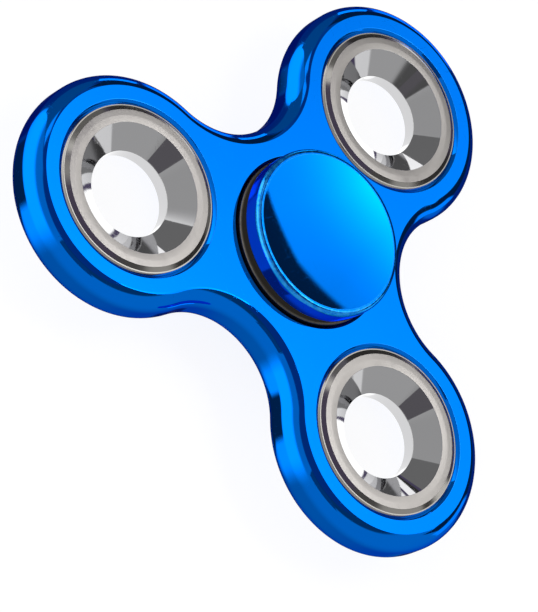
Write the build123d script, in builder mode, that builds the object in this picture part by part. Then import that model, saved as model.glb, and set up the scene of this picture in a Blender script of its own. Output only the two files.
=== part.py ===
from build123d import *
from math import cos, radians, sin, sqrt
import os

# A three-lobed fidget spinner lying flat. +Z is the axis it spins about, the origin is the middle of its
# thickness on that axis, and one lobe points towards -Y. Everything is in millimetres.

# ---- frame -------------------------------------------------------------------------------------------
third_turn = 120
half_third = third_turn / 2
lobe_angles = {"right": 30, "left": 150, "front": 270}
lobe_pitch_radius = 25.64      # spin axis to the middle of a lobe
lobe_radius = 15.15
waist_radius = 10.95           # hollow sides between the lobes
frame_half_thickness = 3.03
frame_edge_radius = 1.95
seat_mouth_chamfer = 0.40      # round each of the four seats, on both faces

# ---- counterweights, turned rings the size of a bearing ------------------------------------------------
seat_radius = 11.0             # one reamer cuts all four seats of the frame
weight_land_height = 2.90
weight_plateau_height = 3.17
weight_corner = 0.25
weight_land_radius = 10.60
weight_bevel_radius = 10.00
weight_plateau_radius = 8.40
weight_crown = 0.03
weight_throat_radius = 5.50
weight_throat_height = 0.90

# ---- middle bearing, standard 8 x 22 x 7 ---------------------------------------------------------------
bearing_bore_radius = 4.0
bearing_outer_radius = 11.0
bearing_half_width = 3.5
bearing_corner = 0.30
ball_count = 7
ball_diameter = 3.969
ball_pitch_radius = 7.5
race_clearance = 0.015         # ball to the bottom of a groove
groove_conformity = 0.52       # groove radius over ball diameter
inner_land_radius = 6.05
outer_land_radius = 9.05

# ---- shields and their snap rings ----------------------------------------------------------------------
shield_sheet = 0.25
shield_seat_height = 2.95
shield_seat_radius = 9.62
shield_inner_radius = 6.25
shield_flange_radius = 8.85
shield_joggle = 0.10
shield_lip_height = 2.70
snap_groove_radius = 9.80
snap_ring_outer_radius = 9.76
snap_ring_inner_radius = 9.32
snap_ring_thickness = 0.20
snap_ring_clearance = 0.02      # room above the ring in its groove
snap_ring_gap_angle = 30
ring_mouth_radius = 9.60

# ---- ball cage, two pressed ribbons riveted together ---------------------------------------------------
cage_sheet = 0.30
cage_half_width = 0.55         # radial, each side of the ball circle
pocket_clearance = 0.06
rivet_radius = 0.30
rivet_head_radius = 0.50
rivet_head_height = 0.18
rivet_head_round = 0.11

# ---- finger caps and the stud that joins them ----------------------------------------------------------
cap_radius = 10.95
cap_underside_height = 4.40
cap_rim_height = 7.10
cap_rim_round = 0.65
cap_lower_round = 0.35
cap_dish_radius = 10.15
cap_dish_depth = 0.80
cap_shoulder_radius = 5.60
spigot_radius = 3.97           # slides into the inner ring's bore
spigot_end_height = 0.20
spigot_chamfer = 0.35
tapped_hole_radius = 2.55
tapped_hole_end = 4.90
stud_radius = 2.50
stud_root_radius = 2.10
stud_pitch = 0.80
stud_turns = 11
hex_socket_flat = 2.50
hex_socket_depth = 2.60

ball_radius = ball_diameter / 2
groove_radius = groove_conformity * ball_diameter
inner_groove_bottom = ball_pitch_radius - ball_radius - race_clearance
outer_groove_bottom = ball_pitch_radius + ball_radius + race_clearance
pocket_radius = ball_radius + pocket_clearance
ball_spacing = 360 / ball_count
tolerance = 0.01               # for picking edges by radius or height

os.makedirs("parts", exist_ok=True)


def polar(radius, angle):
    return radius * cos(radians(angle)), radius * sin(radians(angle))


def save(piece, name):
    piece.label = name
    export_step(piece, f"parts/{name}.step")


# ---- frame: three round lobes joined by hollow waists --------------------------------------------------
half_span = lobe_pitch_radius * sin(radians(half_third))
waist_to_span = sqrt((lobe_radius + waist_radius) ** 2 - half_span**2)
waist_pitch_radius = lobe_pitch_radius * cos(radians(half_third)) + waist_to_span


def tangent_point(lobe_angle, waist_angle):
    """Where a lobe runs into the waist beside it."""
    lobe = Vector(*polar(lobe_pitch_radius, lobe_angle))
    waist = Vector(*polar(waist_pitch_radius, waist_angle))
    return lobe + (waist - lobe).normalized() * lobe_radius


with BuildPart() as spinner_frame:
    with BuildSketch() as outline:
        with BuildLine():
            for angle in lobe_angles.values():
                waist_angle = angle + half_third
                lobe_start = tangent_point(angle, angle - half_third)
                lobe_end = tangent_point(angle, waist_angle)
                next_start = tangent_point(angle + third_turn, waist_angle)
                ThreePointArc(lobe_start, polar(lobe_pitch_radius + lobe_radius, angle), lobe_end)
                ThreePointArc(lobe_end, polar(waist_pitch_radius - waist_radius, waist_angle), next_start)
        make_face()
    extrude(amount=frame_half_thickness, both=True)
    fillet(edges().filter_by(Plane.XY), frame_edge_radius)
    with PolarLocations(lobe_pitch_radius, len(lobe_angles), start_angle=lobe_angles["right"]):
        Hole(seat_radius)
    chamfer(edges(Select.LAST).filter_by(Plane.XY), seat_mouth_chamfer)
    Hole(seat_radius)
    chamfer(edges(Select.LAST).filter_by(Plane.XY), seat_mouth_chamfer)
save(spinner_frame.part, "spinner_frame")

# ---- counterweights: a raised plateau, a bevel outside it and a cone down to the throat ----------------
plateau_middle = (weight_plateau_radius + weight_bevel_radius) / 2

for side, angle in lobe_angles.items():
    lobe_middle = Vector(*polar(lobe_pitch_radius, angle), 0)
    with BuildPart() as weight:
        with BuildSketch(Plane(lobe_middle, x_dir=(1, 0, 0), z_dir=(0, -1, 0))):
            with BuildLine():
                Polyline(
                    (weight_throat_radius, 0),
                    (weight_throat_radius, weight_throat_height),
                    (weight_plateau_radius, weight_plateau_height),
                )
                ThreePointArc(
                    (weight_plateau_radius, weight_plateau_height),
                    (plateau_middle, weight_plateau_height + weight_crown),
                    (weight_bevel_radius, weight_plateau_height),
                )
                Polyline(
                    (weight_bevel_radius, weight_plateau_height),
                    (weight_land_radius, weight_land_height),
                    (seat_radius - weight_corner, weight_land_height),
                    (seat_radius, weight_land_height - weight_corner),
                    (seat_radius, 0),
                )
                mirror(about=Plane.XZ)
            make_face()
        revolve(axis=Axis(lobe_middle, (0, 0, 1)))
    save(weight.part, f"weight_{side}")


# ---- bearing rings: each a turned ring with a round groove for the balls -------------------------------
def groove_edge_height(land_radius, groove_bottom, side):
    """Height at which the groove's arc meets the land beside it; side is +1 for the outer ring."""
    arc_centre = groove_bottom - side * groove_radius
    return sqrt(groove_radius**2 - (land_radius - arc_centre) ** 2)


outer_groove_edge = groove_edge_height(outer_land_radius, outer_groove_bottom, 1)
inner_groove_edge = groove_edge_height(inner_land_radius, inner_groove_bottom, -1)
snap_groove_base = shield_seat_height + shield_sheet
snap_groove_top = snap_groove_base + snap_ring_thickness + snap_ring_clearance

with BuildPart() as bearing_outer_ring:
    with BuildSketch(Plane.XZ):
        with BuildLine():
            Polyline(
                (bearing_outer_radius, 0),
                (bearing_outer_radius, bearing_half_width - bearing_corner),
                (bearing_outer_radius - bearing_corner, bearing_half_width),
                (ring_mouth_radius, bearing_half_width),
                (ring_mouth_radius, snap_groove_top),
                (snap_groove_radius, snap_groove_top),
                (snap_groove_radius, snap_groove_base),
                (shield_seat_radius, snap_groove_base),
                (shield_seat_radius, shield_seat_height),
                (outer_land_radius, shield_seat_height),
                (outer_land_radius, outer_groove_edge),
            )
            mirror(about=Plane.XZ)
            ThreePointArc(
                (outer_land_radius, outer_groove_edge),
                (outer_groove_bottom, 0),
                (outer_land_radius, -outer_groove_edge),
            )
        make_face()
    revolve(axis=Axis.Z)
save(bearing_outer_ring.part, "bearing_outer_ring")

with BuildPart() as bearing_inner_ring:
    with BuildSketch(Plane.XZ):
        with BuildLine():
            Polyline(
                (bearing_bore_radius, 0),
                (bearing_bore_radius, bearing_half_width - bearing_corner),
                (bearing_bore_radius + bearing_corner, bearing_half_width),
                (inner_land_radius - bearing_corner, bearing_half_width),
                (inner_land_radius, bearing_half_width - bearing_corner),
                (inner_land_radius, inner_groove_edge),
            )
            mirror(about=Plane.XZ)
            ThreePointArc(
                (inner_land_radius, inner_groove_edge),
                (inner_groove_bottom, 0),
                (inner_land_radius, -inner_groove_edge),
            )
        make_face()
    revolve(axis=Axis.Z)
save(bearing_inner_ring.part, "bearing_inner_ring")

# ---- balls ---------------------------------------------------------------------------------------------
for number in range(ball_count):
    with BuildPart() as ball:
        with Locations(polar(ball_pitch_radius, number * ball_spacing)):
            Sphere(ball_radius)
    save(ball.part, f"bearing_ball_{number + 1}")

# ---- cage: a flat ribbon with a domed half pocket over each ball ---------------------------------------
with BuildPart() as cage_half:
    with BuildSketch():
        Circle(ball_pitch_radius + cage_half_width)
        Circle(ball_pitch_radius - cage_half_width, mode=Mode.SUBTRACT)
    extrude(amount=cage_sheet)
    with PolarLocations(ball_pitch_radius, ball_count):
        Sphere(pocket_radius + cage_sheet)
    with BuildSketch():
        Circle(ball_pitch_radius + cage_half_width)
        Circle(ball_pitch_radius - cage_half_width, mode=Mode.SUBTRACT)
    extrude(amount=bearing_half_width, mode=Mode.INTERSECT)
    with PolarLocations(ball_pitch_radius, ball_count):
        Sphere(pocket_radius, mode=Mode.SUBTRACT)
    with PolarLocations(ball_pitch_radius, ball_count, start_angle=ball_spacing / 2):
        Hole(rivet_radius)

with BuildPart() as cage_upper:
    add(cage_half.part)
save(cage_upper.part, "cage_upper")

with BuildPart() as cage_lower:
    add(cage_half.part)
    mirror(about=Plane.XY, mode=Mode.REPLACE)
save(cage_lower.part, "cage_lower")

with BuildPart() as cage_rivets:
    rivet_half_length = cage_sheet + rivet_head_height
    with PolarLocations(ball_pitch_radius, ball_count, start_angle=ball_spacing / 2):
        Cylinder(rivet_radius, 2 * rivet_half_length)
    for head_middle in (cage_sheet + rivet_head_height / 2, -cage_sheet - rivet_head_height / 2):
        with Locations((0, 0, head_middle)):
            with PolarLocations(ball_pitch_radius, ball_count, start_angle=ball_spacing / 2):
                Cylinder(rivet_head_radius, rivet_head_height)
    heads = edges().filter_by(GeomType.CIRCLE).filter_by(lambda e: e.radius > rivet_head_radius - tolerance)
    tips = heads.filter_by(lambda e: abs(e.arc_center.Z) > rivet_half_length - tolerance)
    fillet(tips, rivet_head_round)
save(cage_rivets.part, "cage_rivets")

# ---- shields: pressed sheet discs seated in the outer ring, clear of the inner ring --------------------
for side, about in (("upper", None), ("lower", Plane.XY)):
    with BuildPart() as shield:
        with BuildSketch(Plane.XZ):
            with BuildLine():
                flange_top = shield_seat_height + shield_sheet
                Polyline(
                    (shield_seat_radius, shield_seat_height),
                    (shield_seat_radius, flange_top),
                    (shield_flange_radius, flange_top),
                    (shield_flange_radius - shield_joggle, flange_top + shield_joggle),
                    (shield_inner_radius, flange_top + shield_joggle),
                    (shield_inner_radius, shield_lip_height),
                    (shield_inner_radius + shield_sheet, shield_lip_height),
                    (shield_inner_radius + shield_sheet, shield_seat_height + shield_joggle),
                    (shield_flange_radius - shield_joggle, shield_seat_height + shield_joggle),
                    (shield_flange_radius, shield_seat_height),
                    close=True,
                )
            make_face()
        revolve(axis=Axis.Z)
        if about:
            mirror(about=about, mode=Mode.REPLACE)
    save(shield.part, f"shield_{side}")

# ---- snap rings: split flat rings sprung into the groove over each shield ------------------------------
snap_gap_width = 2 * snap_ring_inner_radius * sin(radians(snap_ring_gap_angle / 2))
snap_ring_bases = {"upper": snap_groove_base, "lower": -snap_groove_base - snap_ring_thickness}

for side, base in snap_ring_bases.items():
    with BuildPart() as snap_ring:
        with BuildSketch(Plane.XY.offset(base)):
            Circle(snap_ring_outer_radius)
            Circle(snap_ring_inner_radius, mode=Mode.SUBTRACT)
            with Locations((-snap_ring_outer_radius, 0)):
                Rectangle(snap_gap_width, snap_gap_width, mode=Mode.SUBTRACT)
        extrude(amount=snap_ring_thickness)
    save(snap_ring.part, f"snap_ring_{side}")

# ---- finger caps: dished top, shoulder on the inner ring, spigot down its bore -------------------------
with BuildPart() as finger_cap:
    with BuildSketch(Plane.XZ):
        with BuildLine():
            Polyline(
                (0, tapped_hole_end),
                (tapped_hole_radius, tapped_hole_end),
                (tapped_hole_radius, spigot_end_height),
                (spigot_radius - spigot_chamfer, spigot_end_height),
                (spigot_radius, spigot_end_height + spigot_chamfer),
                (spigot_radius, bearing_half_width),
                (cap_shoulder_radius, bearing_half_width),
                (cap_shoulder_radius, cap_underside_height),
                (cap_radius, cap_underside_height),
                (cap_radius, cap_rim_height),
                (cap_dish_radius, cap_rim_height),
            )
            dish_bottom = (0, cap_rim_height - cap_dish_depth)
            TangentArc(dish_bottom, (cap_dish_radius, cap_rim_height), tangent=(1, 0))
            Line(dish_bottom, (0, tapped_hole_end))
        make_face()
    revolve(axis=Axis.Z)
    outer_edges = edges().filter_by(GeomType.CIRCLE).filter_by(lambda e: e.radius > cap_radius - tolerance)
    fillet(outer_edges.sort_by(Axis.Z)[-1], cap_rim_round)
    fillet(outer_edges.sort_by(Axis.Z)[0], cap_lower_round)

with BuildPart() as top_cap:
    add(finger_cap.part)
save(top_cap.part, "top_cap")

with BuildPart() as bottom_cap:
    add(finger_cap.part)
    mirror(about=Plane.XY, mode=Mode.REPLACE)
save(bottom_cap.part, "bottom_cap")

# ---- cap stud: a headless screw with a hex socket, threaded into both caps -----------------------------
stud_start = -tapped_hole_end
stud_end = stud_start + stud_turns * stud_pitch + stud_pitch / 2

with BuildPart() as cap_stud:
    with BuildSketch(Plane.XZ):
        with BuildLine():
            flanks = [(stud_root_radius, stud_start)]
            for turn in range(stud_turns):
                root_height = stud_start + turn * stud_pitch
                flanks.append((stud_radius, root_height + stud_pitch / 2))
                flanks.append((stud_root_radius, root_height + stud_pitch))
            Polyline((0, stud_start), *flanks, (stud_root_radius, stud_end), (0, stud_end), close=True)
        make_face()
    revolve(axis=Axis.Z)
    with BuildSketch(Plane.XY.offset(stud_end)):
        RegularPolygon(hex_socket_flat / 2, 6, major_radius=False)
    extrude(amount=-hex_socket_depth, mode=Mode.SUBTRACT)
save(cap_stud.part, "cap_stud")
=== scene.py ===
from math import atan2, cos, pi, sin, sqrt, tan

import bmesh
import bpy
from mathutils import Matrix, Vector


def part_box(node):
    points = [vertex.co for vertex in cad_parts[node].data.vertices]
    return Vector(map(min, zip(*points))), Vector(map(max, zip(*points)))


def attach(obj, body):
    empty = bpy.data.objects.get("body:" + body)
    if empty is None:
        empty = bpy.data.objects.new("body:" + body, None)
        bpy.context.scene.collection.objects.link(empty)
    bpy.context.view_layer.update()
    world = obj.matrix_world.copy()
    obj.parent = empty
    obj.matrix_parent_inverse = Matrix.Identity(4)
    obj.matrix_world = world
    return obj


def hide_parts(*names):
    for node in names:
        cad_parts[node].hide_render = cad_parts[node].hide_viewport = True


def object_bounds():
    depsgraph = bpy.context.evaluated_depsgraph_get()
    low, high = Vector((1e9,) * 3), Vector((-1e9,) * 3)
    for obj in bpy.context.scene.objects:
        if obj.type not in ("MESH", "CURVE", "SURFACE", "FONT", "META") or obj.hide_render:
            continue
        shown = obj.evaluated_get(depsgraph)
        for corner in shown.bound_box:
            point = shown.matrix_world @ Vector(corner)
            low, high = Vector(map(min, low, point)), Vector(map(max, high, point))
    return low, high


# A blue three-lobed spinner lying flat, +Z along its spin axis. Shapes are drawn in millimetres.
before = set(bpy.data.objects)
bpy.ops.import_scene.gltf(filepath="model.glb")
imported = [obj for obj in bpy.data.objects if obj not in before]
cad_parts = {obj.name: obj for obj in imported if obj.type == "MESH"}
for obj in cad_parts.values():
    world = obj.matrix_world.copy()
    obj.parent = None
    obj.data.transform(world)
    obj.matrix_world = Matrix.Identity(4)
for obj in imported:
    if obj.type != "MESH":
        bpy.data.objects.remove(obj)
cad_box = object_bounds()

MM = 0.001
THIRD_TURN = 2 * pi / 3
CORNER_RADIUS = 0.25           # mm; a corner rounded this tightly counts as fully sharp
WEIGHTS = ("weight_right", "weight_left", "weight_front")
HUB = Vector((0, 0))


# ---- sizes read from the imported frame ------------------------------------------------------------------
def half_width(node):
    low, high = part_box(node)
    return (high.x - low.x) / 2 / MM


def top(node):
    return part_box(node)[1].z / MM


def plan_middle(node):
    low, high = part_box(node)
    return Vector(((low.x + high.x) / 2, (low.y + high.y) / 2)) / MM


seat_radius = half_width("weight_front")
lobe_pitch_radius = plan_middle("weight_front").length
lobe_radius = -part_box("spinner_frame")[0].y / MM - lobe_pitch_radius
frame_top = top("spinner_frame")
bearing_radius = half_width("bearing_outer_ring")
bearing_top = top("bearing_outer_ring")
ball_pitch_radius = plan_middle("bearing_ball_1").length
ball_radius = half_width("bearing_ball_1")
cap_radius = half_width("top_cap")
cap_top = top("top_cap")
spigot_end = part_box("top_cap")[0].z / MM


# ---- mesh tools ----------------------------------------------------------------------------------------
def rounded(corners, steps=6):
    """Turns the (radius, height, rounding) corners of an outline into points, each corner a tangent arc."""
    points = []
    for i, (radius, height, rounding) in enumerate(corners):
        here = Vector((radius, height))
        if rounding == 0:
            points.append(here)
            continue
        back = (Vector(corners[i - 1][:2]) - here).normalized()
        ahead = (Vector(corners[(i + 1) % len(corners)][:2]) - here).normalized()
        half = back.angle(ahead) / 2
        centre = here + (back + ahead).normalized() * (rounding / sin(half))
        start = here + back * (rounding / tan(half)) - centre
        end = here + ahead * (rounding / tan(half)) - centre
        turn = atan2(start.cross(end), start.dot(end))
        for step in range(steps + 1):
            bend = turn * step / steps
            points.append(centre + Vector((
                start.x * cos(bend) - start.y * sin(bend),
                start.x * sin(bend) + start.y * cos(bend),
            )))
    return points


def ring_of(bm, centre, radius, height, around):
    turns = (2 * pi * step / around for step in range(around))
    return [bm.verts.new((centre.x + radius * cos(t), centre.y + radius * sin(t), height)) for t in turns]


def join_rings(bm, first, second):
    """Faces between two closed rings of points; a ring on the axis is one point repeated."""
    for step in range(len(first)):
        after = (step + 1) % len(first)
        corners = dict.fromkeys((first[step], first[after], second[after], second[step]))
        if len(corners) > 2:
            bm.faces.new(corners)


def mark_surface(bm, centre):
    """Stores on every point its millimetres from the piece's own axis and how sharp a corner it is on."""
    from_axis = bm.verts.layers.float.new("from_axis")
    corner = bm.verts.layers.float.new("corner")
    for point in bm.verts:
        point[from_axis] = (point.co.xy - centre).length
        tightest = 0.0
        for edge in point.link_edges:
            if len(edge.link_faces) == 2:
                first, second = (face.calc_center_median() for face in edge.link_faces)
                tightest = max(tightest, edge.calc_face_angle_signed(0.0) / (first - second).length)
        point[corner] = min(1.0, tightest * CORNER_RADIUS)


def as_object(name, bm, unit=MM):
    """Makes an object of a drawn mesh; unit is the length that it was drawn in."""
    mesh = bpy.data.meshes.new(name)
    bm.to_mesh(mesh)
    bm.free()
    mesh.transform(Matrix.Scale(unit, 4))
    made = bpy.data.objects.new(name, mesh)
    bpy.context.scene.collection.objects.link(made)
    return made


def finished(name, bm, body, replaced, centre=HUB):
    """Makes the drawn mesh a piece of the object that moves with the body and stands for the CAD node."""
    bmesh.ops.recalc_face_normals(bm, faces=bm.faces)
    mark_surface(bm, centre)
    for face in bm.faces:
        face.smooth = True
    piece = as_object(name, bm)
    shading = piece.modifiers.new("flat_faces_stay_flat", "WEIGHTED_NORMAL")
    shading.weight = 50
    shading.keep_sharp = True
    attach(piece, body)
    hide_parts(replaced)
    return piece


def turned(name, outline, body, replaced, centre=HUB, around=256, upside_down=False):
    """A lathe piece: a closed outline of (radius, height) points turned about an upright axis."""
    bm = bmesh.new()
    rings = []
    for radius, height in outline:
        height = -height if upside_down else height
        if radius < 1e-6:
            rings.append([bm.verts.new((centre.x, centre.y, height))] * around)
        else:
            rings.append(ring_of(bm, centre, radius, height, around))
    for inner, outer in zip(rings, rings[1:] + rings[:1]):
        join_rings(bm, inner, outer)
    return finished(name, bm, body, replaced, centre)


def mirrored(corners):
    """Adds the lower half to the upper half of a symmetrical outline."""
    return corners + [(radius, -height, rounding) for radius, height, rounding in reversed(corners)]


# ---- frame: three round lobes joined by hollow waists, edges rounded, seats bored ----------------------
waist_radius = 10.95
edge_radius = 1.95
seat_mouth = 0.40              # chamfer round each of the four seats
MOUTH_ROUNDING = 0.12
MOUTH_MARGIN = 0.10            # flat ring outside the start of that rounding
LOBE_STEPS = 120
WAIST_STEPS = 60
EDGE_STEPS = 16
EDGE_BREAK = 10 * pi / 180     # angle between the flat face and the start of its rounded edge


def frame_outline():
    """(point, outward direction) pairs round the plan of the frame, counter-clockwise."""
    half_span = lobe_pitch_radius * sin(pi / 3)
    waist_pitch = lobe_pitch_radius / 2 + sqrt((lobe_radius + waist_radius) ** 2 - half_span**2)
    lobe_turn = atan2(waist_pitch * sin(pi / 3), waist_pitch / 2 - lobe_pitch_radius)
    waist_turn = lobe_turn - pi / 3
    outline = []
    for lobe in range(3):
        facing = pi / 6 + lobe * THIRD_TURN
        middle = Vector((cos(facing), sin(facing))) * lobe_pitch_radius
        for step in range(LOBE_STEPS):
            turn = facing + lobe_turn * (2 * step / LOBE_STEPS - 1)
            out = Vector((cos(turn), sin(turn)))
            outline.append((middle + out * lobe_radius, out))
        facing += pi / 3
        middle = Vector((cos(facing), sin(facing))) * waist_pitch
        for step in range(WAIST_STEPS):
            turn = facing + pi + waist_turn * (1 - 2 * step / WAIST_STEPS)
            out = -Vector((cos(turn), sin(turn)))
            outline.append((middle - out * waist_radius, out))
    return outline


def edge_section():
    """(inset, height) down the frame's side: a crisp break from the face, a round, the wall, and back."""
    radius = edge_radius / (1 - sin(EDGE_BREAK))
    upper = []
    for step in range(EDGE_STEPS + 1):
        lean = EDGE_BREAK + (pi / 2 - EDGE_BREAK) * step / EDGE_STEPS
        upper.append((radius * (1 - sin(lean)), frame_top - radius * (cos(EDGE_BREAK) - cos(lean))))
    return upper + [(inset, -height) for inset, height in reversed(upper)]


def sharpen(bm, *rings):
    """Keeps a crisp edge along each closed ring, so the flat face inside it shades flat."""
    for ring in rings:
        for pair in zip(ring, ring[1:] + ring[:1]):
            bm.edges.get(pair).smooth = False


def bore(bm, centre, around=256):
    """The wall of one seat with its two mouths; returns the rings that the flat faces start from."""
    mouth_radius = seat_radius + seat_mouth
    wall = rounded(mirrored([
        (mouth_radius + MOUTH_MARGIN, frame_top, 0),
        (mouth_radius, frame_top, MOUTH_ROUNDING),
        (seat_radius, frame_top - seat_mouth, MOUTH_ROUNDING),
    ]))
    rings = [ring_of(bm, centre, radius, height, around) for radius, height in wall]
    for upper, lower in zip(rings, rings[1:]):
        join_rings(bm, upper, lower)
    sharpen(bm, rings[1], rings[-2])
    return rings[0], rings[-1]


def build_frame():
    bm = bmesh.new()
    outline = frame_outline()
    rings = []
    for inset, height in edge_section():
        rings.append([bm.verts.new((*(point - out * inset), height)) for point, out in outline])
    for upper, lower in zip(rings, rings[1:]):
        join_rings(bm, upper, lower)
    sharpen(bm, rings[0], rings[-1])
    borders = [(rings[0], rings[-1]), bore(bm, HUB)]
    for weight in WEIGHTS:
        borders.append(bore(bm, plan_middle(weight)))
    for side in (0, 1):
        loops = [border[side] for border in borders]
        edges = [bm.edges.get(pair) for loop in loops for pair in zip(loop, loop[1:] + loop[:1])]
        bmesh.ops.triangle_fill(bm, edges=edges, use_beauty=True)
    return finished("frame_casting", bm, "spinner", "spinner_frame")


# ---- counterweights ------------------------------------------------------------------------------------
plateau_height = 3.17
plateau_inner = 8.40
land_height = 2.90
throat_radius, throat_height = 5.50, 0.90
crown_radius = 9.20            # the highest ring of the plateau
bevel_start, bevel_end = 10.00, 10.60
weight_corner = 0.25           # chamfer where the weight enters its seat


def build_weights():
    outline = rounded(mirrored([
        (throat_radius, throat_height, 0.12),
        (plateau_inner, plateau_height, 0.07),
        (crown_radius, top("weight_front"), 3.0),
        (bevel_start, plateau_height, 0.06),
        (bevel_end, land_height, 0.04),
        (seat_radius - weight_corner, land_height, 0.05),
        (seat_radius, land_height - weight_corner, 0.05),
    ]))
    return [
        turned(node.replace("weight", "turned_weight"), outline, "spinner", node,
               plan_middle(node))
        for node in WEIGHTS
    ]


# ---- finger caps ---------------------------------------------------------------------------------------
cap_underside = 4.40
dish_radius = 10.15
dish_depth = 0.80
collar_radius = 5.60           # rests on the bearing's inner ring
spigot_radius, spigot_chamfer = 3.97, 0.35
cap_thread_radius, cap_thread_end = 2.55, 4.90
DISH_STEPS = 40


def build_caps():
    dish = []
    for step in range(DISH_STEPS):
        share = step / DISH_STEPS
        dish.append((share * dish_radius, cap_top - dish_depth * (1 - share**2), 0))
    outline = rounded(dish + [
        (dish_radius, cap_top, 0.12),
        (cap_radius, cap_top, 0.65),
        (cap_radius, cap_underside, 0.35),
        (collar_radius, cap_underside, 0.15),
        (collar_radius, bearing_top, 0.10),
        (spigot_radius, bearing_top, 0),
        (spigot_radius, spigot_end + spigot_chamfer, 0.05),
        (spigot_radius - spigot_chamfer, spigot_end, 0.05),
        (cap_thread_radius, spigot_end, 0.05),
        (cap_thread_radius, cap_thread_end, 0),
        (0, cap_thread_end, 0),
    ])
    return [
        turned("dished_top_cap", outline, "top_cap_body", "top_cap"),
        turned("dished_bottom_cap", outline, "grip", "bottom_cap", upside_down=True),
    ]


# ---- middle bearing ------------------------------------------------------------------------------------
shield_height = 2.95
shield_sheet = 0.25
shield_seat = 9.62
snap_groove_radius, snap_groove_height = 9.80, 0.22
ring_mouth = 9.60              # bore of the outer ring above its snap ring
outer_land = 9.05
inner_land = 6.05
inner_ring_bore = 4.0
groove_radius = 0.52 * 2 * ball_radius     # the balls' groove, a little wider than the ball
RACE_STEPS = 16
ring_corner = 0.30
ring_clearance = 0.015


def race(land, side):
    """The round groove for the balls, from its upper edge down; side is +1 in the outer ring."""
    middle = ball_pitch_radius + side * (ball_radius + ring_clearance - groove_radius)
    half = side * (land - middle)
    reach = atan2(sqrt(groove_radius**2 - half**2), half)
    turns = [reach * (1 - 2 * step / RACE_STEPS) for step in range(RACE_STEPS + 1)]
    return [(middle + side * groove_radius * cos(t), groove_radius * sin(t), 0) for t in turns]


def build_bearing():
    groove_foot = shield_height + shield_sheet
    outer_corners = [
        (outer_land, shield_height, 0.03),
        (shield_seat, shield_height, 0),
        (shield_seat, groove_foot, 0),
        (snap_groove_radius, groove_foot, 0.04),
        (snap_groove_radius, groove_foot + snap_groove_height, 0.04),
        (ring_mouth, groove_foot + snap_groove_height, 0.02),
        (ring_mouth, bearing_top, 0.03),
        (bearing_radius, bearing_top, ring_corner),
    ]
    outer_outline = rounded(race(outer_land, 1)[::-1] + mirrored(outer_corners))
    outer = turned("ground_outer_ring", outer_outline, "spinner", "bearing_outer_ring")
    inner_corners = [
        (inner_land, bearing_top, ring_corner),
        (inner_ring_bore, bearing_top, ring_corner),
    ]
    inner_outline = rounded(race(inner_land, -1)[::-1] + mirrored(inner_corners))
    inner = turned("ground_inner_ring", inner_outline, "grip", "bearing_inner_ring")
    return [outer, inner]


def build_shields():
    """Pressed steel discs: a flat rim in the outer ring, a shallow step up, and a lip turned down inside."""
    rim, flange = shield_height + shield_sheet, 8.85
    step, inside, lip = 0.10, 6.25, 2.70
    outline = rounded([
        (shield_seat, shield_height, 0.05),
        (shield_seat, rim, 0.05),
        (flange, rim, 0.08),
        (flange - step, rim + step, 0.08),
        (inside, rim + step, 0.20),
        (inside, lip, 0.05),
        (inside + shield_sheet, lip, 0.05),
        (inside + shield_sheet, shield_height + step, 0.08),
        (flange - step, shield_height + step, 0.05),
        (flange, shield_height, 0.05),
    ], steps=4)
    return [
        turned(f"pressed_shield_{side}", outline, "spinner", f"shield_{side}",
               upside_down=flipped)
        for side, flipped in (("upper", False), ("lower", True))
    ]


def build_snap_rings():
    """Split wire-flat rings sprung over the shields, with rounded ends each side of the gap."""
    inside, outside, base, thick, half_gap = 9.33, 9.75, 3.20, 0.20, 0.26
    plain_share, end_share, spans = 0.985, 0.015, 180
    pieces = []
    for side, sign in (("upper", 1), ("lower", -1)):
        bm = bmesh.new()
        section = rounded([(inside, base, 0.05), (outside, base, 0.05), (outside, base + thick, 0.05),
                           (inside, base + thick, 0.05)], steps=3)
        rings = []
        for span in range(spans + 1):
            share = 2 * span / spans - 1
            turn = share * (pi - half_gap)
            pinch = sqrt(max(0.04, 1 - max(0.0, abs(share) - plain_share) ** 2 / end_share**2))
            middle = (inside + outside) / 2
            rings.append([
                bm.verts.new(((middle + (radius - middle) * pinch) * cos(turn),
                              (middle + (radius - middle) * pinch) * sin(turn), sign * height))
                for radius, height in section
            ])
        for first, second in zip(rings, rings[1:]):
            join_rings(bm, first, second)
        bm.faces.new(rings[0])
        bm.faces.new(rings[-1])
        pieces.append(finished(f"split_snap_ring_{side}", bm, "spinner", f"snap_ring_{side}"))
    return pieces


def build_balls():
    """Seven balls, each lapped from pole to pole about its own upright axis."""
    steps = 24
    pieces = []
    for number in range(1, 8):
        node = f"bearing_ball_{number}"
        outline = [(ball_radius * sin(pi * step / steps), ball_radius * cos(pi * step / steps))
                   for step in range(steps + 1)]
        pieces.append(turned(f"lapped_ball_{number}", outline, f"ball_{number}", node,
                             plan_middle(node), around=48))
    return pieces


# ---- stud that joins the caps --------------------------------------------------------------------------
stud_low, stud_high = -4.90, 4.30
stud_root, stud_crest, stud_pitch = 2.10, 2.50, 0.80
stud_point_radius = 1.90
thread_runout = 0.4            # length over which the thread dies away at each end
socket_flat, socket_depth, socket_point = 1.25, 2.60, 3.10
STUD_AROUND = 60
ROWS_PER_PITCH = 16


def thread_radius(turn, height):
    """A rounded thread that dies away at both ends."""
    wave = 0.5 + 0.5 * cos(2 * pi * (height / stud_pitch) - turn)
    fade = min(1.0, (height - stud_low) / thread_runout, (stud_high - height) / thread_runout)
    return stud_root + (stud_crest - stud_root) * wave**0.8 * max(0.0, fade)


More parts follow.
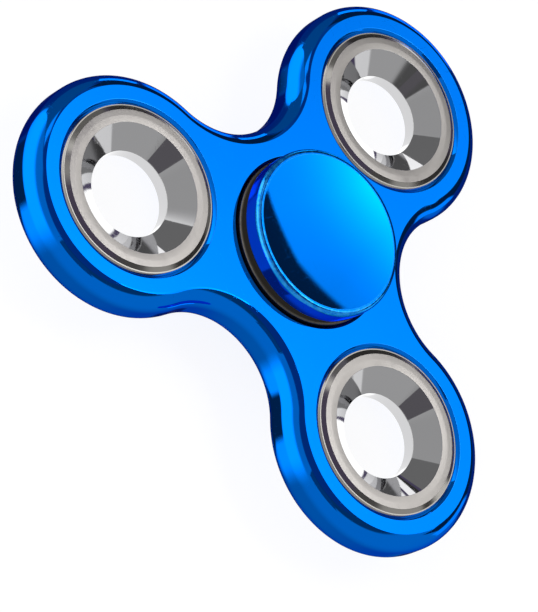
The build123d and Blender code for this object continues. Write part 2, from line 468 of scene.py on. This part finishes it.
def build_stud():
    bm = bmesh.new()
    turns = [2 * pi * step / STUD_AROUND for step in range(STUD_AROUND)]
    rows = round((stud_high - stud_low) / stud_pitch * ROWS_PER_PITCH)
    heights = [stud_low + (stud_high - stud_low) * row / rows for row in range(rows + 1)]
    rings = [
        [bm.verts.new((*(thread_radius(t, z) * Vector((cos(t), sin(t)))), z)) for t in turns] for z in heights
    ]

    def hex_ring(flat, height):
        """Points round a hexagon with the given distance from its middle to a flat."""
        reach = [flat / cos((t + pi / 6) % (pi / 3) - pi / 6) for t in turns]
        return [bm.verts.new((*(r * Vector((cos(t), sin(t)))), height)) for r, t in zip(reach, turns)]

    socket = [
        ring_of(bm, HUB, 1.75, stud_high, STUD_AROUND),
        hex_ring(socket_flat + 0.05, stud_high - 0.06),
        hex_ring(socket_flat, stud_high - 0.14),
        hex_ring(socket_flat, stud_high - socket_depth),
        ring_of(bm, HUB, 1.10, stud_high - socket_depth, STUD_AROUND),
    ]
    point = [[bm.verts.new((0, 0, stud_high - socket_point))] * STUD_AROUND]
    foot_ring = ring_of(bm, HUB, stud_point_radius, stud_low, STUD_AROUND)
    foot_middle = [bm.verts.new((0, 0, stud_low))] * STUD_AROUND
    chain = [foot_middle, foot_ring] + rings + socket + point
    for first, second in zip(chain, chain[1:]):
        join_rings(bm, first, second)
    return finished("threaded_stud", bm, "grip", "cap_stud")


frame_casting = build_frame()
weights = build_weights()
caps = build_caps()
bearing_rings = build_bearing()
shields = build_shields()
snap_rings = build_snap_rings()
balls = build_balls()
stud = build_stud()


# ---- shared surface effects ----------------------------------------------------------------------------
def effect(name, inputs, outputs):
    """An empty node group with float inputs {name: default} and named outputs; returns group, in, out."""
    group = bpy.data.node_groups.new(name, "ShaderNodeTree")
    for socket, value in inputs.items():
        given = group.interface.new_socket(socket, in_out="INPUT", socket_type="NodeSocketFloat")
        given.default_value = value
    for socket in outputs:
        group.interface.new_socket(socket, in_out="OUTPUT", socket_type="NodeSocketFloat")
    return group, group.nodes.new("NodeGroupInput"), group.nodes.new("NodeGroupOutput")


def feed(tree, source, socket):
    """Links a socket to another, or sets a plain value on it."""
    if isinstance(source, bpy.types.NodeSocket):
        tree.links.new(source, socket)
    else:
        socket.default_value = source


def calc(tree, operation, first, second=0.0, third=0.0, clamp=False):
    node = tree.nodes.new("ShaderNodeMath")
    node.operation = operation
    node.use_clamp = clamp
    for socket, source in zip(node.inputs, (first, second, third)):
        feed(tree, source, socket)
    return node.outputs[0]


def scaled_place(tree, stretch):
    """Where a point is on its own piece, in millimetres, stretched along each axis."""
    place = tree.nodes.new("ShaderNodeTexCoord")
    size = tree.nodes.new("ShaderNodeVectorMath")
    size.operation = "MULTIPLY"
    size.inputs[1].default_value = Vector(stretch) / MM
    tree.links.new(place.outputs["Object"], size.inputs[0])
    return size.outputs[0]


def noise(tree, stretch, scale, detail=3.0, rough=0.5):
    node = tree.nodes.new("ShaderNodeTexNoise")
    tree.links.new(scaled_place(tree, stretch), node.inputs["Vector"])
    feed(tree, scale, node.inputs["Scale"])
    node.inputs["Detail"].default_value = detail
    node.inputs["Roughness"].default_value = rough
    return node.outputs["Fac"]


def band(tree, value, low, high):
    """0 below low, 1 above high, smooth between."""
    node = tree.nodes.new("ShaderNodeMapRange")
    node.interpolation_type = "SMOOTHSTEP"
    for socket, source in zip(("Value", "From Min", "From Max"), (value, low, high)):
        feed(tree, source, node.inputs[socket])
    return node.outputs["Result"]


def make_hairlines():
    """Fine straight polishing scratches in three directions. Mask is 1 on a scratch."""
    tree, given, made = effect("hairlines", {"Density": 0.5, "Scale": 1.0}, ["Mask"])
    total = 0.0
    for stretch in ((9, 0.25, 1), (0.3, 8, 1), (5, -5.5, 1)):
        lines = noise(tree, stretch, given.outputs["Scale"], detail=1.0)
        gaps = calc(tree, "SUBTRACT", 0.80, calc(tree, "MULTIPLY", given.outputs["Density"], 0.18))
        total = calc(tree, "MAXIMUM", total, band(tree, lines, gaps, calc(tree, "ADD", gaps, 0.04)))
    tree.links.new(total, made.inputs["Mask"])
    return tree


def make_handling():
    """Smudges from fingers: broad cloudy patches. Haze is 0 to 1."""
    tree, given, made = effect("handling", {"Scale": 0.08, "Cover": 0.5}, ["Haze"])
    cloud = noise(tree, (1, 1, 1), given.outputs["Scale"], detail=4.0, rough=0.6)
    low = calc(tree, "SUBTRACT", 0.72, calc(tree, "MULTIPLY", given.outputs["Cover"], 0.35))
    tree.links.new(band(tree, cloud, low, calc(tree, "ADD", low, 0.22)), made.inputs["Haze"])
    return tree


def make_turning():
    """Rings left by the lathe tool, from the piece's own distance-from-axis values. Groove is 0 to 1."""
    tree, given, made = effect("turning", {"Pitch": 0.12, "Unevenness": 0.5}, ["Groove"])
    reach = tree.nodes.new("ShaderNodeAttribute")
    reach.attribute_name = "from_axis"
    turns = calc(tree, "DIVIDE", reach.outputs["Fac"], given.outputs["Pitch"])
    wave = calc(tree, "SINE", calc(tree, "MULTIPLY", turns, 2 * pi))
    chatter = tree.nodes.new("ShaderNodeTexNoise")
    chatter.noise_dimensions = "1D"
    chatter.inputs["Scale"].default_value = 0.37
    tree.links.new(turns, chatter.inputs["W"])
    uneven = calc(tree, "MULTIPLY", chatter.outputs["Fac"], given.outputs["Unevenness"])
    groove = calc(tree, "MULTIPLY_ADD", wave, 0.5, 0.5)
    tree.links.new(calc(tree, "MULTIPLY_ADD", groove, 0.5, uneven), made.inputs["Groove"])
    return tree


def make_edge_rub_and_sheen():
    """Lightens rounded corners, broken up by grain: worn bright edges, and where the amount is set high, a
    painted highlight. The output is 0 to 1.
    """
    tree, given, made = effect("edge_rub_and_sheen", {"Amount": 0.5, "Grain": 1.5}, ["Rub"])
    corner = tree.nodes.new("ShaderNodeAttribute")
    corner.attribute_name = "corner"
    grain = noise(tree, (1, 1, 1), given.outputs["Grain"], detail=6.0, rough=0.7)
    reach = calc(tree, "ADD", calc(tree, "MULTIPLY", corner.outputs["Fac"], given.outputs["Amount"]), grain)
    tree.links.new(band(tree, reach, 0.72, 1.05), made.inputs["Rub"])
    return tree


hairlines = make_hairlines()
handling = make_handling()
turning = make_turning()
edge_rub_and_sheen = make_edge_rub_and_sheen()


# ---- finishes ------------------------------------------------------------------------------------------
def use(tree, group, **values):
    node = tree.nodes.new("ShaderNodeGroup")
    node.node_tree = group
    for socket, value in values.items():
        node.inputs[socket].default_value = value
    return node.outputs[0]


def blend_colour(tree, share, first, second):
    node = tree.nodes.new("ShaderNodeMix")
    node.data_type = "RGBA"
    feed(tree, share, node.inputs["Factor"])
    feed(tree, first, node.inputs["A"])
    feed(tree, second, node.inputs["B"])
    return node.outputs["Result"]


def metal(name, colour, rubbed_and_lit, roughness, grazing=(1, 1, 1, 1), rubbed_roughness=0.05, rubbing=0.6):
    """A bare metal finish, lighter and duller on its corners: worn edges, and a painted highlight where that
    effect is set high; returns material, tree, shader, scratch mask.
    """
    material = bpy.data.materials.new(name)
    material.use_nodes = True
    tree = material.node_tree
    shader = tree.nodes["Principled BSDF"]
    shader.inputs["Metallic"].default_value = 1.0
    shader.inputs["Specular Tint"].default_value = grazing
    haze = use(tree, handling)
    rub_and_sheen = use(tree, edge_rub_and_sheen, Amount=rubbing)
    scratch = use(tree, hairlines)
    tone = noise(tree, (1, 1, 1), 0.06, detail=2.0)
    shade = blend_colour(tree, tone, (*(c * 0.93 for c in colour[:3]), 1), colour)
    tree.links.new(blend_colour(tree, rub_and_sheen, shade, rubbed_and_lit), shader.inputs["Base Color"])
    rough = calc(tree, "MULTIPLY_ADD", haze, roughness * 0.8, roughness)
    rough = calc(tree, "MULTIPLY_ADD", scratch, 0.10, rough)
    rough = calc(tree, "MULTIPLY_ADD", rub_and_sheen, rubbed_roughness, rough)
    tree.links.new(rough, shader.inputs["Roughness"])
    return material, tree, shader, scratch


def bumped(tree, shader, height, depth):
    """Presses a 0 to 1 height into the surface by depth millimetres."""
    bump = tree.nodes.new("ShaderNodeBump")
    bump.inputs["Strength"].default_value = 1.0
    bump.inputs["Distance"].default_value = depth * MM
    tree.links.new(height, bump.inputs["Height"])
    tree.links.new(bump.outputs["Normal"], shader.inputs["Normal"])


def grooved(name, colour, rubbed_and_lit, roughness, pitch, depth, **wear):
    """A lathe-turned metal finish with tool rings pitch apart and depth deep, in millimetres."""
    material, tree, shader, _ = metal(name, colour, rubbed_and_lit, roughness, **wear)
    bumped(tree, shader, use(tree, turning, Pitch=pitch), depth)
    return material


def buffed(name, colour, rubbed_and_lit, roughness, depth, **wear):
    """A polished metal finish with fine straight scratches depth deep, in millimetres."""
    material, tree, shader, scratch = metal(name, colour, rubbed_and_lit, roughness, **wear)
    bumped(tree, shader, calc(tree, "SUBTRACT", 1.0, scratch), depth)
    return material


# Painted light: the caps' side walls take a lighter, greener copy of the caps' blue, which stands for the
# brighter light they catch. The cap itself is one colour all over.
LIT_CAP_WALL_BLUE = (0.0, 0.34, 0.98, 1)
BLUE_EDGE = (0.05, 0.35, 0.95, 1)
# Painted highlight: on the caps a strong corner setting lays this lighter blue over the rounded rim. Besides
# edge wear, it stands for a bright highlight there.
RUBBED_AND_LIT_BLUE = (0.04, 0.42, 1.0, 1)
CAP_WEAR_AND_RIM_HIGHLIGHT = {"grazing": BLUE_EDGE, "rubbed_roughness": 0.22, "rubbing": 1.1}
blue_frame = buffed("blue_frame_finish", (0.0, 0.20, 0.93, 1), (0.01, 0.26, 1.0, 1), 0.05, 0.001,
                    grazing=BLUE_EDGE)
blue_cap = grooved("blue_cap_finish", (0.0, 0.21, 0.95, 1), RUBBED_AND_LIT_BLUE, 0.04, 0.15, 0.0004, **CAP_WEAR_AND_RIM_HIGHLIGHT)
lit_cap_wall = grooved("lit_cap_wall_finish", LIT_CAP_WALL_BLUE, RUBBED_AND_LIT_BLUE, 0.08, 0.15, 0.0006, **CAP_WEAR_AND_RIM_HIGHLIGHT)
satin_steel = grooved("satin_steel_finish", (0.43, 0.41, 0.39, 1), (0.5, 0.48, 0.46, 1), 0.30, 0.10, 0.004)
mirror_steel = grooved("mirror_steel_finish", (0.50, 0.50, 0.51, 1), (0.56, 0.56, 0.56, 1), 0.04, 0.20,
                       0.0004)
bevel_steel = grooved("bevel_steel_finish", (0.40, 0.385, 0.36, 1), (0.46, 0.45, 0.43, 1), 0.12, 0.10, 0.001)
# Painted shade: the bearing rings are near black. This stands for the shade under the caps' overhang rather
# than for the ground steel's own colour.
shade_dark_ring_steel = grooved("shade_dark_ring_finish", (0.075, 0.066, 0.055, 1), (0.13, 0.12, 0.10, 1), 0.36, 0.08,
                       0.003)
shield_steel = grooved("shield_steel_finish", (0.32, 0.31, 0.30, 1), (0.45, 0.44, 0.42, 1), 0.32, 0.18, 0.004)
spring_steel = buffed("spring_steel_finish", (0.16, 0.155, 0.16, 1), (0.30, 0.29, 0.28, 1), 0.28, 0.003)
lapped_steel = buffed("lapped_steel_finish", (0.55, 0.55, 0.56, 1), (0.60, 0.60, 0.60, 1), 0.03, 0.0005)
cage_steel = buffed("cage_steel_finish", (0.40, 0.37, 0.33, 1), (0.52, 0.50, 0.47, 1), 0.26, 0.003)
black_screw = buffed("black_screw_finish", (0.035, 0.035, 0.04, 1), (0.22, 0.21, 0.20, 1), 0.34, 0.004)

pieces_by_finish = (
    (blue_frame, [frame_casting]), (blue_cap, caps), (shade_dark_ring_steel, bearing_rings), (shield_steel, shields),
    (spring_steel, snap_rings), (lapped_steel, balls), (black_screw, [stud]), (mirror_steel, weights),
)
for finish, pieces in pieces_by_finish:
    for piece in pieces:
        piece.data.materials.append(finish)
STEEP, LEVEL = 0.6, 0.97           # upright share of a face's normal: below it a wall, above it a flat
for cap in caps:
    cap.visible_glossy = False     # keeps the flat faces and the cones free of the caps' mirror images
    # The side-wall faces take that lighter copy of the blue: painted light.
    cap.data.materials.append(lit_cap_wall)
    for face in cap.data.polygons:
        on_rim = face.center.xy.length / MM > cap_radius - 0.2
        face.material_index = 1 if on_rim and abs(face.normal.z) < STEEP else 0
for weight in weights:
    weight.data.materials.append(satin_steel)
    weight.data.materials.append(bevel_steel)
    weight_middle = plan_middle(weight.name.replace("turned_", ""))
    for face in weight.data.polygons:
        reach = ((face.center / MM).xy - weight_middle).length
        if reach > bevel_start:
            face.material_index = 2
        elif abs(face.normal.z) > LEVEL and abs(face.center.z) / MM > plateau_height - 0.05:
            face.material_index = 1
for node in ("cage_upper", "cage_lower", "cage_rivets"):
    cage_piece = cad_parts[node]
    cage_piece.data.materials.clear()
    cage_piece.data.materials.append(cage_steel)

# ---- studio --------------------------------------------------------------------------------------------
scene = bpy.context.scene
scene.view_settings.view_transform = "Standard"


def aim(azimuth, elevation):
    """Unit vector; azimuth is counter-clockwise from +X, both in degrees."""
    turn, lift = azimuth * pi / 180, elevation * pi / 180
    return Vector((cos(turn) * cos(lift), sin(turn) * cos(lift), sin(lift)))


def blank_material(name):
    """A new material with an empty tree; returns both."""
    material = bpy.data.materials.new(name)
    material.use_nodes = True
    material.node_tree.nodes.clear()
    return material, material.node_tree


def mixed(tree, share, first, second):
    """The first shader where share is 0 and the second where it is 1."""
    mix = tree.nodes.new("ShaderNodeMixShader")
    for socket, source in zip(mix.inputs, (share, first, second)):
        tree.links.new(source, socket)
    return mix.outputs[0]


def glow(name, tint):
    """Light as strong as the panel's level at each point; it thins out where the panel does."""
    material, tree = blank_material(name)
    level, solid = tree.nodes.new("ShaderNodeAttribute"), tree.nodes.new("ShaderNodeAttribute")
    level.attribute_name, solid.attribute_name = "level", "solid"
    light = tree.nodes.new("ShaderNodeEmission")
    light.inputs["Color"].default_value = (*tint, 1)
    tree.links.new(level.outputs["Fac"], light.inputs["Strength"])
    clear = tree.nodes.new("ShaderNodeBsdfTransparent")
    out = tree.nodes.new("ShaderNodeOutputMaterial")
    shown = mixed(tree, solid.outputs["Fac"], clear.outputs[0], light.outputs[0])
    tree.links.new(shown, out.inputs["Surface"])
    return material


def hide_from_camera(screen):
    """Keeps a light or flag out of the picture: it is seen only in what it lights and in reflections."""
    screen.visible_camera = False
    screen.visible_shadow = False


def panel(name, azimuths, elevations, strength, feather=0.0, tint=(1, 1, 1), distance=0.60, step=2.0):
    """A curved studio panel round the object, between two azimuths and two elevations in degrees.

    Strength is a number, or a function of azimuth and elevation.
    """
    bm = bmesh.new()
    level = bm.verts.layers.float.new("level")
    solid = bm.verts.layers.float.new("solid")
    (start, end), (foot, head) = azimuths, elevations
    across, up = round((end - start) / step), round((head - foot) / step)
    rows = []
    for row in range(up + 1):
        elevation = foot + (head - foot) * row / up
        points = []
        for column in range(across + 1):
            azimuth = start + (end - start) * column / across
            point = bm.verts.new(aim(azimuth, elevation) * distance)
            sideways = min(azimuth - start, end - azimuth) * cos(elevation * pi / 180)
            nearest = max(0.0, min(sideways, elevation - foot, head - elevation))
            point[level] = strength(azimuth, elevation) if callable(strength) else strength
            point[solid] = min(1.0, nearest / feather) if feather else 1.0
            points.append(point)
        rows.append(points)
    for lower, upper in zip(rows, rows[1:]):
        for column in range(across):
            bm.faces.new((lower[column], lower[column + 1], upper[column + 1], upper[column]))
    screen = as_object(name, bm, unit=1)
    screen.data.materials.append(glow(name, tint))
    hide_from_camera(screen)


def ease(value, low, high):
    share = min(1.0, max(0.0, (value - low) / (high - low)))
    return share * share * (3 - 2 * share)


WALL_LOW_DARK, WALL_TOP_DARK = 0.07, 0.13
KEY_FOOT, KEY_HEAD = 37, 67
KEY_SLANT, SLANT_START = 0.33, 8   # how fast the softbox's foot climbs, and the azimuth where it starts to
KEY_SPILL = 0.05
NEARER = 0.55                  # flags stand in front of the panels


def wall_level(azimuth, elevation):
    """The long white wall: bright on the fill side, dimmer in front, dark low behind and high in front."""
    front = ease(azimuth, 172, 198)
    bright = 1.7 - 1.15 * ease(elevation, 22, 40) - 0.8 * ease(-elevation, 30, 75)
    dim = 0.60 - 0.20 * ease(-elevation, 0, 60)
    level = bright + (dim - bright) * front
    low_corner = ease(-elevation, 38, 46) * ease(-azimuth, -156, -146)
    top_corner = ease(elevation, 49, 53) * ease(azimuth, 192, 196)
    return level + (WALL_LOW_DARK - level) * low_corner + (WALL_TOP_DARK - level) * top_corner


def key_level(azimuth, elevation):
    """The key softbox is strongest along its top and weaker to one side, where its foot also slants up."""
    lit = 1.0
    if azimuth > SLANT_START:
        lit = ease(elevation - KEY_SLANT * (azimuth - SLANT_START), KEY_FOOT - 0.5, KEY_FOOT + 0.5)
    rise = (elevation - KEY_FOOT) / (KEY_HEAD - KEY_FOOT)
    sideways = min(1.15, max(0.88, 1.05 - 0.018 * (azimuth - 5)))
    return KEY_SPILL + lit * (1.05 + 3.6 * rise**3) * sideways


CARD_AROUND = 96
UNDER_CARD_RADIUS, FAR_CARD_RADIUS = 12.5, 5.0


def glossy_card(name, middle, radii, height, strength):
    """A flat round card or ring, level with the floor, that only shows in polished surfaces."""
    bm = bmesh.new()
    level, solid = bm.verts.layers.float.new("level"), bm.verts.layers.float.new("solid")
    inner, outer = radii
    if inner:
        hole = ring_of(bm, middle, inner, height, CARD_AROUND)
        join_rings(bm, hole, ring_of(bm, middle, outer, height, CARD_AROUND))
    else:
        bm.faces.new(ring_of(bm, middle, outer, height, CARD_AROUND))
    for point in bm.verts:
        point[level], point[solid] = strength, 1.0
    screen = as_object(name, bm)
    screen.data.materials.append(glow(name, (1, 1, 1)))
    hide_from_camera(screen)
    screen.visible_diffuse = False


panel("key_softbox", (-34, 29), (KEY_FOOT, KEY_HEAD), key_level, distance=0.50, step=0.5)
panel("studio_wall", (86, 332), (-80, 68), wall_level, feather=4)
panel("back_flag_low", (-35, 88), (-30, 30), 0.17, feather=5, tint=(0.65, 0.55, 1), distance=NEARER)
panel("floor_flag", (-35, 90), (-80, -27), 0.13, feather=4, tint=(0.4, 0.38, 1), distance=NEARER)
panel("back_flag_high", (51, 91), (4, 48), 0.24, distance=0.53)
panel("wedge_card", (36, 51), (-1, 12), 1.7, distance=0.50)
panel("side_card", (312, 336), (1, 22), 1.15, feather=2, distance=0.50)
panel("high_card", (58, 88), (47, 58), 1.2, feather=2, distance=0.50)
panel("camera_flag", (193, 236), (44, 62), 0.17, tint=(0.95, 0.9, 1), distance=NEARER)
panel("key_skirt", (-42, 48), (10, KEY_FOOT), 0.05, distance=0.52)
panel("rim_card", (10, 34), (-18, 6), 1.6, feather=2, distance=0.50)
for weight in WEIGHTS:
    near_middle = plan_middle(weight) + Vector((4.0, 0))
    far_middle = plan_middle(weight) + Vector((11.5, 0))
    glossy_card(f"under_card_{weight}", near_middle, (0, UNDER_CARD_RADIUS), -cap_top + 0.05, 1.35)
    glossy_card(f"far_card_{weight}", far_middle, (0, FAR_CARD_RADIUS), -cap_top + 0.10, 1.75)
for side in (1, -1):
    hub_ring = (collar_radius + 0.1, cap_radius - 0.1)
    glossy_card(f"hub_flag_{side}", HUB, hub_ring, side * (cap_underside - 0.02), 0.25)

ROOM_TOP = (0.13, 0.11, 0.19, 1)
ROOM_COLOURS = (                   # (height from 0 underfoot to 1 overhead, colour)
    (0.50, (0.28, 0.28, 0.30, 1)),
    (0.80, (0.22, 0.22, 0.28, 1)),
    (0.90, ROOM_TOP),
)


def build_room():
    """A dim room that lights the object, with a plain white backdrop for the camera."""
    world = bpy.data.worlds.new("studio")
    scene.world = world
    world.use_nodes = True
    tree = world.node_tree
    tree.nodes.clear()
    way = tree.nodes.new("ShaderNodeTexCoord")
    height = tree.nodes.new("ShaderNodeSeparateXYZ")
    tree.links.new(way.outputs["Generated"], height.inputs[0])
    walls = tree.nodes.new("ShaderNodeValToRGB")
    tree.links.new(calc(tree, "MULTIPLY_ADD", height.outputs["Z"], 0.5, 0.5), walls.inputs[0])
    ramp = walls.color_ramp
    ramp.elements[0].position = 0.0
    ramp.elements[0].color = (0.30, 0.30, 0.30, 1)
    ramp.elements[1].position = 1.0
    ramp.elements[1].color = ROOM_TOP
    for place, colour in ROOM_COLOURS:
        ramp.elements.new(place).color = colour
    room = tree.nodes.new("ShaderNodeBackground")
    tree.links.new(walls.outputs[0], room.inputs["Color"])
    backdrop = tree.nodes.new("ShaderNodeBackground")
    backdrop.inputs["Color"].default_value = (1, 1, 1, 1)
    backdrop.inputs["Strength"].default_value = 1.0
    seen = tree.nodes.new("ShaderNodeLightPath")
    out = tree.nodes.new("ShaderNodeOutputWorld")
    shown = mixed(tree, seen.outputs["Is Camera Ray"], room.outputs[0], backdrop.outputs[0])
    tree.links.new(shown, out.inputs["Surface"])


def build_floor():
    """A pale floor at the object's foot, clear when seen from below."""
    bm = bmesh.new()
    bmesh.ops.create_circle(bm, cap_ends=True, segments=96, radius=2.5)
    floor = as_object("floor", bm, unit=1)
    floor.location.z = cad_box[0].z
    material, tree = blank_material("pale_floor")
    paint = tree.nodes.new("ShaderNodeBsdfDiffuse")
    paint.inputs["Color"].default_value = (0.25, 0.25, 0.25, 1)
    lift = tree.nodes.new("ShaderNodeEmission")
    lift.inputs["Strength"].default_value = 0.88
    lit = tree.nodes.new("ShaderNodeAddShader")
    tree.links.new(paint.outputs[0], lit.inputs[0])
    tree.links.new(lift.outputs[0], lit.inputs[1])
    below = tree.nodes.new("ShaderNodeNewGeometry")
    clear = tree.nodes.new("ShaderNodeBsdfTransparent")
    out = tree.nodes.new("ShaderNodeOutputMaterial")
    shown = mixed(tree, below.outputs["Backfacing"], lit.outputs[0], clear.outputs[0])
    tree.links.new(shown, out.inputs["Surface"])
    floor.data.materials.append(material)
    floor.visible_glossy = False


build_room()
build_floor()

# ---- camera --------------------------------------------------------------------------------------------
camera = bpy.data.objects.new("camera", bpy.data.cameras.new("camera"))
scene.collection.objects.link(camera)
camera.data.sensor_width = 36
camera.data.lens = 172.5
camera_place = Vector((-247.12, -26.45, 272.12)) * MM
camera_target = Vector((-7.73, -5.63, 0)) * MM
camera_roll = Matrix.Rotation(63.54 * pi / 180, 3, "Z")
camera_turn = (camera_target - camera_place).to_track_quat("-Z", "Y").to_matrix() @ camera_roll
camera.matrix_world = Matrix.Translation(camera_place) @ camera_turn.to_4x4()
scene.camera = camera
